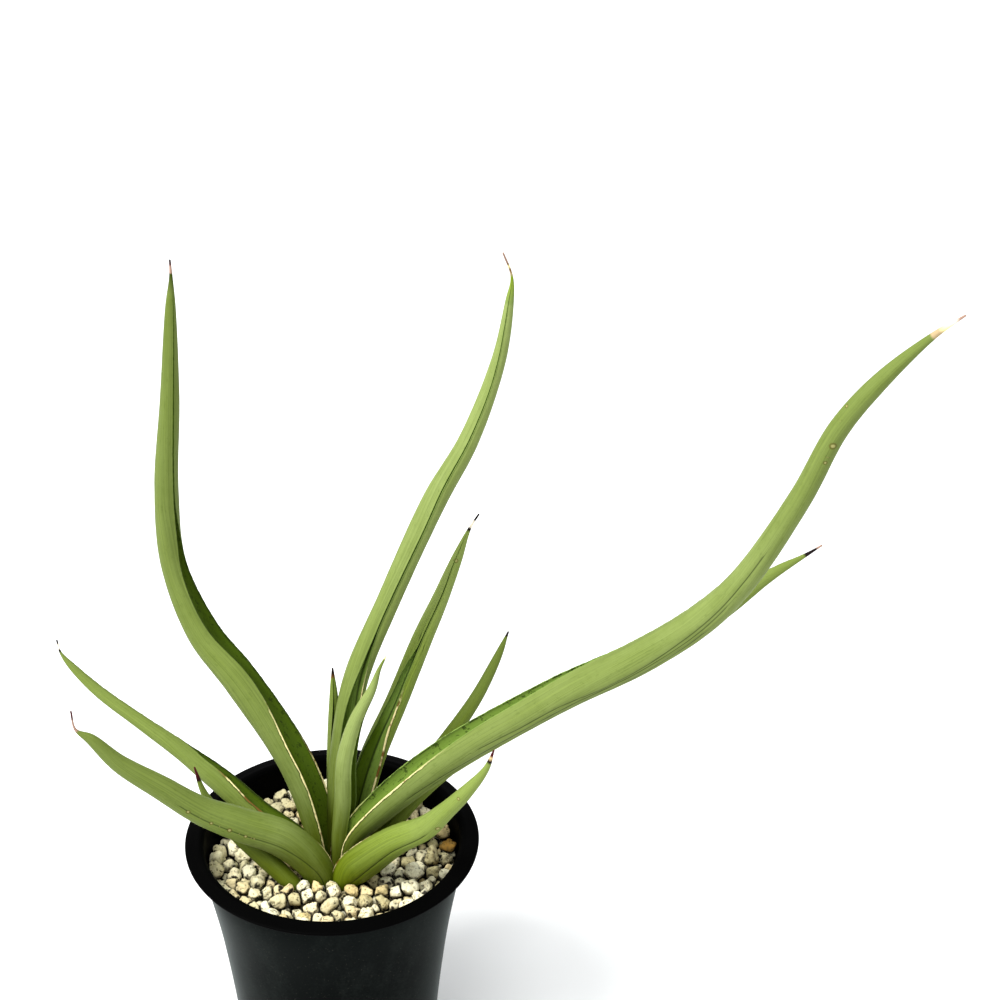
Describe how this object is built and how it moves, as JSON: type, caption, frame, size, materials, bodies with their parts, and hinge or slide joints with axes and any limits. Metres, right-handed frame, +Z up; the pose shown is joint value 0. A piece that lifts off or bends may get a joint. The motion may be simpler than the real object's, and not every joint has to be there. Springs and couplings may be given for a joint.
{
  "type": "potted cylindrical snake plant",
  "caption": "Potted cylindrical snake plant: long, arching, channelled grey-green leaves on one crown, in a tapered black pot topped with pale pumice grit.",
  "frame": {"origin": "middle of the pot's underside, on the flat pad that is level with its foot ring", "axes": "+Z up along the pot's axis; +X to the right, towards the longest leaf; +Y away from the side the plant is seen from"},
  "size_m": [0.3098, 0.1231, 0.3423],
  "materials": {
    "pot_plastic": "matte",
    "potting_mix": "matte",
    "pumice": "matte",
    "rhizome": "matte",
    "leaf": "satin"
  },
  "bodies": {
    "root": {"pot": "pot_plastic", "potting_mix": "potting_mix", "pumice_grit": "pumice", "rhizome": "rhizome", "leaf_front_right": "leaf", "leaf_low_left": "leaf", "leaf_long_right": "leaf", "leaf_centre_short": "leaf", "leaf_low_hooked": "leaf", "leaf_long_left": "leaf", "leaf_upper_left": "leaf", "leaf_mid_right": "leaf", "leaf_long_centre": "leaf", "leaf_thin_right": "leaf", "leaf_back_right": "leaf", "leaf_back_small": "leaf"}
  },
  "joints": []
}
